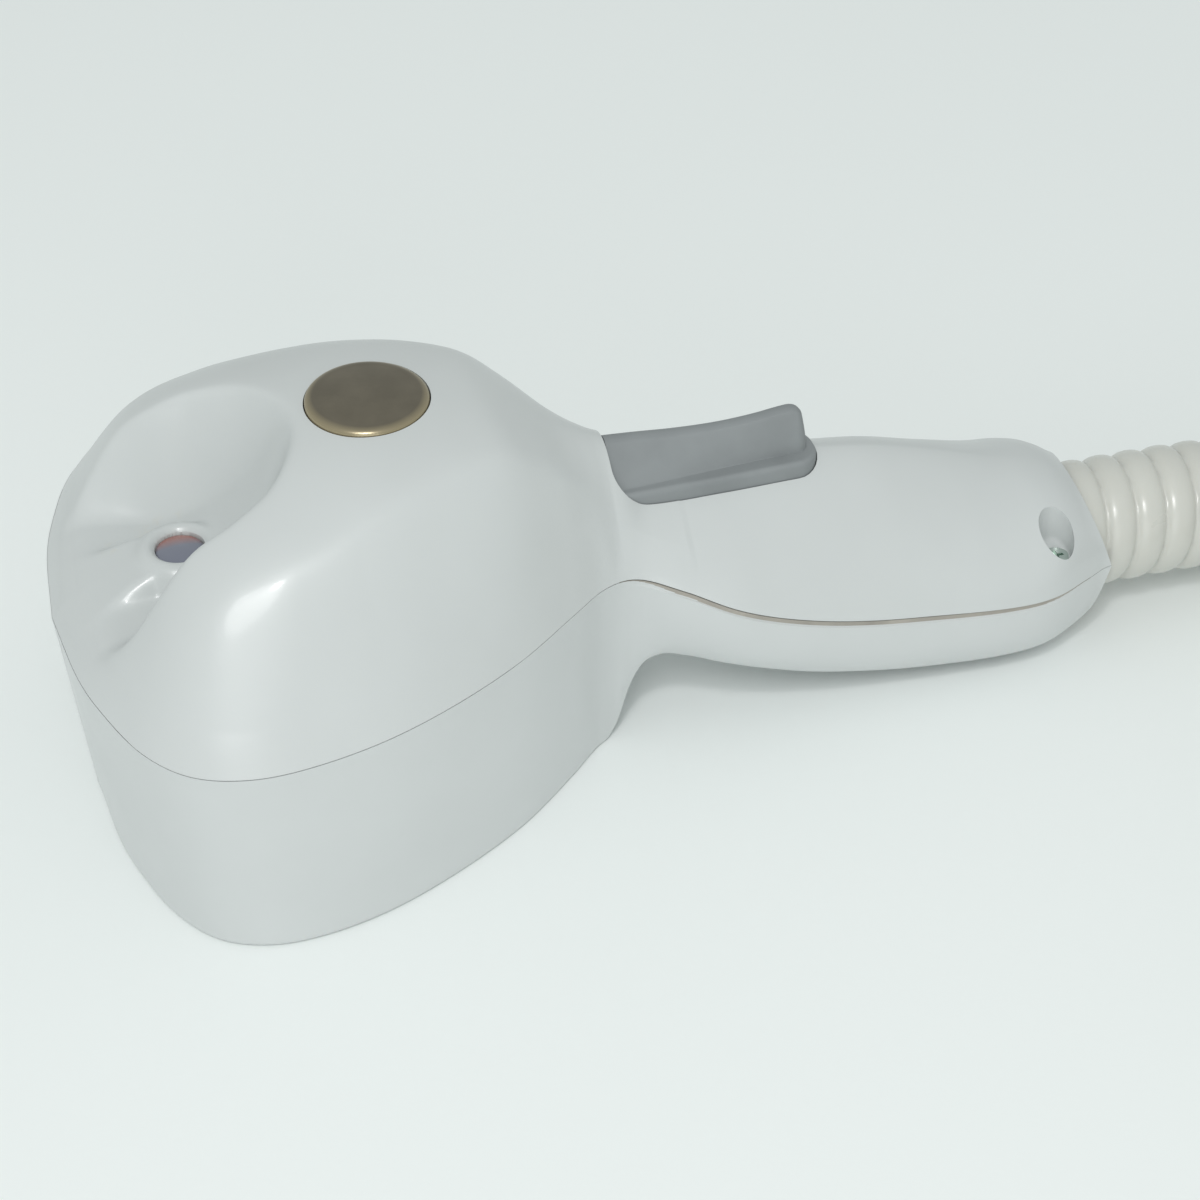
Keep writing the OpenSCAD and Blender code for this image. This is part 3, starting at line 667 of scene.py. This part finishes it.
def paint_lip(shell):
    """the stepped lip under the handle's parting line is a bare edge, in a tan paint darkened as
    painted shade of the seam beside it
    """
    mesh = shell.data
    count = len(mesh.polygons)
    centre = np.empty(count * 3)
    mesh.polygons.foreach_get("center", centre)
    x, y, z = centre.reshape(-1, 3).T / MM
    edge = curve(PARTING, x) - seam(x) / 2
    on_lip = (x > LIP_START[0]) & (x < LIP_END[1]) & (z > edge - LIP_TALL * lip_share(x))
    mesh.polygons.foreach_set("material_index", on_lip.astype(np.int32))
    mesh.update()


# ---- trigger, button, eye ---------------------------------------------------------------
PIVOT = (5.0, 52.0)     # x, z
FIN_L, FIN_ROUND, FIN_END, FIN_CREST = 47.6, 4.5, 2.6, 1.5
FIN_FALL, FIN_CAP, FIN_BLEND, FIN_JOIN = 0.2, 0.985, 0.06, 0.5
FIN_TOP = [(0, 72.3), (8, 71.7), (18, 70.8), (28, 70.5), (36, 71.0), (42, 71.8), (46, 72.1),
           (50, 72)]
FIN_SLOPE = [(0, 1.25), (25, 1.05), (50, 0.55)]
PAD_TOP = [(0, 63.3), (6, 62.9), (28, 61.4), (48, 60.4), (52, 60.2)]
FIN_FOOT = [(0, 9.0), (6, 8.3), (28, 4.9), (42, 3.4), (50, 2.9)]
PAD_ROLL, PAD_FLOOR, PAD_SIDE_ROWS = 1.1, 56.0, 7
PAD_EDGE_SHARE = 0.45
PIN_R, BOSS_R, BOSS_HALF = 1.56, 3.2, 6.5
ARM_X, ARM_TIP, ARM_TIP_R, ARM_R = 38, 48.65, 2.0, 2.5
WEB_X, WEB_HALF, WEB_Z = (1.9, 8.1), 6.4, (54.4, 56.5)


def trigger_piece(paint):
    """the pad and its fin as one moulding: an upright height field over the pad's outline"""
    edge_rings, inner_rings, around = 45, 75, 360
    outline = resample(pad_outline(0), around)
    spine_x = np.clip(outline[:, 0], PAD_X + 2, PAD_X + PAD_L - 6)
    s = (1 - np.cos(np.linspace(0, math.pi / 2, edge_rings))) * PAD_EDGE_SHARE
    s = np.unique(np.concatenate([s, np.linspace(PAD_EDGE_SHARE, 1, inner_rings)]))
    x = outline[:, 0][None, :] + (spine_x - outline[:, 0])[None, :] * s[:, None]
    y = outline[:, 1][None, :] * (1 - s[:, None])
    edge = np.hypot(x - outline[:, 0][None, :], y - outline[:, 1][None, :])
    z = pad_height(x, y, edge)
    side = np.linspace(0, 1, PAD_SIDE_ROWS + 1)[:-1]
    skirt_z = PAD_FLOOR + (z[0][None, :] - PAD_FLOOR) * side[:, None]
    skirt = np.stack([np.repeat(x[:1], PAD_SIDE_ROWS, 0), np.repeat(y[:1], PAD_SIDE_ROWS, 0),
                      skirt_z], axis=2)
    rows = np.concatenate([skirt, np.stack([x, y, z], axis=2)])
    faces = grid_faces(rows.shape[0], around, wrap=True).tolist()
    faces.append(list(range(around))[::-1])
    piece = mesh_from("trigger_grip", rows.reshape(-1, 3), faces, paint)
    repair(piece)
    crease(piece, 50)
    hinge = lathe("hinge", [(PIN_R, -BOSS_HALF), (BOSS_R, -BOSS_HALF), (BOSS_R, BOSS_HALF),
                            (PIN_R, BOSS_HALF), (PIN_R, -BOSS_HALF)], paint, 64)
    turn_to_y(hinge, (PIVOT[0], 0, PIVOT[1]))
    crease(hinge)
    arm = lathe("arm", [(0, ARM_TIP), (ARM_TIP_R, ARM_TIP), (ARM_R, 49.2), (ARM_R, WEB_Z[1]),
                        (0, WEB_Z[1])], paint, 48, "Z", (ARM_X, 0, 0))
    crease(arm)
    web = prism("web", [(WEB_X[0], -WEB_HALF), (WEB_X[1], -WEB_HALF), (WEB_X[1], WEB_HALF),
                        (WEB_X[0], WEB_HALF)], *WEB_Z)
    web.data.materials.append(paint)
    return join("trigger_grip", [piece, hinge, arm, web])


def turn_to_y(piece, place):
    """lays an upright piece along Y and moves it to its place"""
    for v in piece.data.vertices:
        x, y, z = v.co
        v.co = (x + place[0] * MM, z + place[1] * MM, -y + place[2] * MM)


def resample(points, count):
    """evenly spaced points round a closed outline"""
    p = np.array(points)
    ring = np.vstack([p, p[:1]])
    run = np.concatenate([[0], np.cumsum(np.hypot(*np.diff(ring, axis=0).T))])
    t = np.linspace(0, run[-1], count, endpoint=False)
    return np.stack([np.interp(t, run, ring[:, 0]), np.interp(t, run, ring[:, 1])], axis=1)


def pad_height(x, y, edge):
    """a ledge with rounded edges, and on it a fin whose flanks spread towards the front"""
    rolled = 1 - (1 - np.minimum(edge / PAD_ROLL, 1)) ** 2
    pad = curve(PAD_TOP, x) - PAD_ROLL + PAD_ROLL * np.sqrt(np.maximum(rolled, 0))
    away = np.hypot(np.maximum(x - (FIN_L - FIN_END), 0), y)
    over = np.clip((x - (FIN_L - FIN_ROUND)) / FIN_ROUND, 0, 1)
    top = curve(FIN_TOP, x) - FIN_ROUND * (1 - np.sqrt(1 - over ** 2))
    top = top - FIN_FALL * np.minimum(away, FIN_CREST) ** 2
    down = np.clip((away - FIN_CREST) / (curve(FIN_FOOT, x) - FIN_CREST), 0, 1)
    flank = blend_min((1 - down) ** curve(FIN_SLOPE, x), FIN_CAP, FIN_BLEND)
    fin = pad + (top - pad) * np.maximum(flank, 0)
    return np.where(edge < 0.05, pad, blend_max(pad, fin, FIN_JOIN))


BUTTON_R, BUTTON_RIM_Z, BUTTON_DOME = 13.1, 93.55, 0.88
BUTTON_EDGE, BUTTON_DROP = 2.6, 1.5
BUTTON_UNDER = [(BUTTON_R, 88.2), (BUTTON_R - 1.5, 88.2), (BUTTON_R - 1.5, 90.5), (3.5, 90.5),
                (3.5, 68.4), (3.2, 68.2), (0, 68.2)]


def button_piece(paint):
    """a low dome with a rolled edge, hollow below round its stem"""
    r, edge, drop = BUTTON_R, BUTTON_EDGE, BUTTON_DROP
    dome = [(t, BUTTON_RIM_Z + BUTTON_DOME - BUTTON_DOME * (t / r) ** 2)
            for t in np.linspace(0, r - edge, 24)]
    z_edge = dome[-1][1]
    roll = [(r - edge + edge * x, z_edge - drop + drop * z) for x, z in arc(0, 0, 1, 84, 0, 14)]
    profile = dome + roll + BUTTON_UNDER
    piece = lathe("button_cap", profile, paint, 160, "Z", (BUTTON_X, 0, 0))
    crease(piece, 45)
    return piece


LENS_R, LENS_TOP, LENS_DOME = 5.2, 62.9, 0.9


def lens_piece(paint):
    """a low lens with a stepped seat"""
    dome = [(t, LENS_TOP - LENS_DOME * (t / LENS_R) ** 2) for t in np.linspace(0, 5.0, 14)]
    seat = [(LENS_R, 61.8), (LENS_R, 60.6), (4.4, 60.2), (4.4, 58.6), (0, 58.6)]
    piece = lathe("eye_window", dome + seat, paint, 64, "Z", (EYE_X, 0, 0))
    crease(piece)
    return piece


# ---- hose -------------------------------------------------------------------------------
# the route of the CAD model, in metres, then its flat spiral coil
ROUTE = [(0.100, 0, 0.0225), (0.122, 0, 0.0225), (0.145, 0, 0.022), (0.170, 0, 0.0202),
         (0.200, 0, 0.0174), (0.230, 0, 0.0157), (0.265, 0, 0.0151), (0.300, 0, 0.0151)]
COIL_C = (0.300, -0.178)
COIL_R, COIL_TURNS, COIL_PITCH, COIL_TUCK = 0.178, 1.3, 0.031, 0.241
END_LIFT, OFF_FLOOR = 0.003, 0.0001
PITCH = 7.4
HOSE_EXIT_X = 0.100
PHASE = 0.50                            # of the first rib
PLAIN, PLAIN_FADE = 11.5, (-0.6, 1.2)   # the hose's plain start, in millimetres
GROOVE, GROOVE_POWER, PLAIN_DEPTH = 2.1, 2.3, 0.35


def coil_point(t):
    """a point of the flat spiral, t turns along it"""
    r = COIL_R - COIL_PITCH * t - COIL_TUCK * np.maximum(t - 1, 0) ** 2
    a = 2 * math.pi * t
    z = HOSE_R * MM + OFF_FLOOR + END_LIFT * ease(1, COIL_TURNS, t)
    return np.stack([COIL_C[0] + r * np.sin(a), COIL_C[1] + r * np.cos(a), z + 0 * a], axis=-1)


def hose_path():
    """the centreline's points, and the run along it to each"""
    x = np.linspace(HOSE_EXIT_X, ROUTE[-1][0], 400)
    straight = np.stack([x, 0 * x, curve([(p[0], p[2]) for p in ROUTE], x)], axis=-1)
    coil = coil_point(np.linspace(0, COIL_TURNS, 3000)[1:])
    path = np.vstack([straight, coil])
    run = np.concatenate([[0], np.cumsum(np.linalg.norm(np.diff(path, axis=0), axis=1))])
    return path, run


def along(path, run, s):
    return np.stack([np.interp(s, run, path[:, k]) for k in range(3)], axis=-1)


def rib_height(s, angle):
    """how far the hose's skin lies below its ribs, in millimetres, at s along it"""
    phase = (s / MM / PITCH - angle / (2 * math.pi) + PHASE) % 1.0
    off = abs(phase - 0.5) * 2
    groove = GROOVE * (1 - np.sqrt(np.maximum(1 - off**GROOVE_POWER, 0)))
    plain = 1 - ease(PLAIN + PLAIN_FADE[0], PLAIN + PLAIN_FADE[1], s / MM)
    return groove * (1 - plain) + PLAIN_DEPTH * plain


def hose_piece(paint):
    """the ribbed hose, its centreline, and its length"""
    path, run = hose_path()
    step = 0.002
    per_rib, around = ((14, 56))
    rows = int(run[-1] / MM / PITCH * per_rib)
    s = np.linspace(0, run[-1], rows)
    centre = along(path, run, s)
    ahead = (along(path, run, np.minimum(s + step, run[-1]))
             - along(path, run, np.maximum(s - step, 0)))
    ahead /= np.linalg.norm(ahead, axis=1)[:, None]
    side = np.cross(ahead, (0, 0, 1.0))
    side /= np.linalg.norm(side, axis=1)[:, None]
    up = np.cross(side, ahead)
    angle = np.linspace(0, 2 * math.pi, around, endpoint=False)[None, :]
    r = (HOSE_R - rib_height(s[:, None], angle)) * MM
    ring = (centre[:, None, :] + (r * np.cos(angle))[..., None] * side[:, None, :]
            + (r * np.sin(angle))[..., None] * up[:, None, :])
    faces = grid_faces(rows, around, wrap=True).tolist()
    faces += [list(range(around))[::-1], list(range((rows - 1) * around, rows * around))]
    piece = repair(mesh_from("air_hose", ring.reshape(-1, 3) / MM, faces, paint), weld=False)
    return piece, along(path, run, np.linspace(0, run[-1], 420)), run[-1]


# ---- the scene --------------------------------------------------------------------------
make_camera()

hose, centreline, hose_length = hose_piece(hose_paint())
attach(hose, "root")
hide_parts("hose_stretch", "hose_coil")

shell_up = upper_casing(casing_paint("upper_casing_paint", SHELL_UP, True))
shell_low = lower_casing(casing_paint("lower_casing_paint", SHELL_LOW, False), lip_paint())
grip = trigger_piece(plain_paint("trigger_paint", TRIGGER_GREY, 0.55, scale=1400, depth=0.015))
button = button_piece(button_paint())
lens = lens_piece(lens_paint())
for piece, body, node, slot_name in (
        (shell_up, "root", "upper_shell", "upper_casing"),
        (shell_low, "root", "lower_shell", "lower_casing"),
        (grip, "trigger", "trigger", "grey_trigger"),
        (button, "button", "push_button", "bronze_button"),
        (lens, "root", "eye_lens", "lens")):
    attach(piece, body)
    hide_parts(node)

# the CAD nodes that are shown as they are: nodes, colour, roughness, metallic
FINISHES = {
    "zinc_screw": (("rear_screws", "head_screws"), (0.55, 0.62, 0.58), 0.25, 1.0),
    "black_rubber": (("lens_gasket", "duct_seal", "cuff_ring", "wire_harness"),
                     (0.03, 0.03, 0.032), 0.6, 0.0),
    "circuit_board": (("lamp_board", "control_board"), (0.02, 0.16, 0.08), 0.35, 0.0),
    "red_lamp": (("indicator_lamp",), (0.5, 0.05, 0.035), 0.3, 0.0),
    "white_plastic": (("button_guide",), (0.7, 0.7, 0.66), 0.45, 0.0),
    "steel": (("button_spring", "trigger_pin", "trigger_spring", "thermostat"),
              (0.6, 0.6, 0.61), 0.28, 1.0),
    "black_plastic": (("mode_switch", "board_terminal", "trigger_switch", "lock_ring"),
                      (0.03, 0.03, 0.033), 0.45, 0.0),
    "red_plastic": (("switch_plunger",), (0.5, 0.03, 0.02), 0.35, 0.0),
    "dark_grey_plastic": (("trigger_bracket", "air_duct", "hose_cuff", "plenum_hood",
                           "outlet_grille", "hose_connector"), (0.07, 0.075, 0.08), 0.5, 0.0),
    "shroud_metal": (("heater_shroud",), (0.7, 0.7, 0.7), 0.35, 1.0),
    "mica": (("heater_former",), (0.55, 0.45, 0.25), 0.45, 0.0),
    "heater_wire": (("heater_coil",), (0.3, 0.28, 0.26), 0.4, 1.0),
    "ceramic": (("thermal_fuse",), (0.75, 0.72, 0.62), 0.6, 0.0),
    "brass": (("contact_pins",), (0.72, 0.55, 0.25), 0.25, 1.0),
    "strap": (("coil_tie",), (0.03, 0.03, 0.033), 0.9, 0.0),
}
for finish, (nodes, color, rough, metal) in FINISHES.items():
    stuff = plain_paint(finish + "_paint", color, rough, metal, depth=0.01 if metal else 0.03)
    for node in nodes:
        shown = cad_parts[node]
        shown.data.materials.clear()
        shown.data.materials.append(stuff)


# name, azimuth and elevation in degrees, distance and size in metres, power in watts
LIGHTS = (("flash", -20, 54, 0.85, 0.05, 0.75),
          ("key", -24, 50, 3.2, 1.1, 30),
          ("front_fill", -14, 9, 2.4, 1.8, 9))
LIT_POINT = Vector((-0.01, 0, 0.05))
SKY, SKY_STRENGTH = (0.93, 0.985, 0.975, 1), 0.6
FLOOR_HALF = 3.0


def make_floor():
    h = FLOOR_HALF
    corners = np.array([(-h, -h, 0), (h, -h, 0), (h, h, 0), (-h, h, 0)]) / MM
    mesh_from("floor", corners, [[0, 1, 2, 3]], floor_paint(), smooth=False)


def area_light(name, azimuth, elevation, distance, size, power):
    data = bpy.data.lights.new(name, "AREA")
    data.shape = "DISK"
    data.size = size
    data.energy = power
    lamp = bpy.data.objects.new(name, data)
    back = direction(azimuth, elevation)
    lamp.location = LIT_POINT + back * distance
    lamp.rotation_mode = "QUATERNION"
    lamp.rotation_quaternion = (-back).to_track_quat("-Z", "Y")
    bpy.context.collection.objects.link(lamp)


def make_light():
    for light in LIGHTS:
        area_light(*light)
    world = bpy.data.worlds.new("world")
    world.use_nodes = True
    sky = world.node_tree.nodes["Background"]
    sky.inputs["Color"].default_value = SKY
    sky.inputs["Strength"].default_value = SKY_STRENGTH
    bpy.context.scene.world = world
    bpy.context.scene.view_settings.view_transform = "Standard"


make_floor()
make_light()
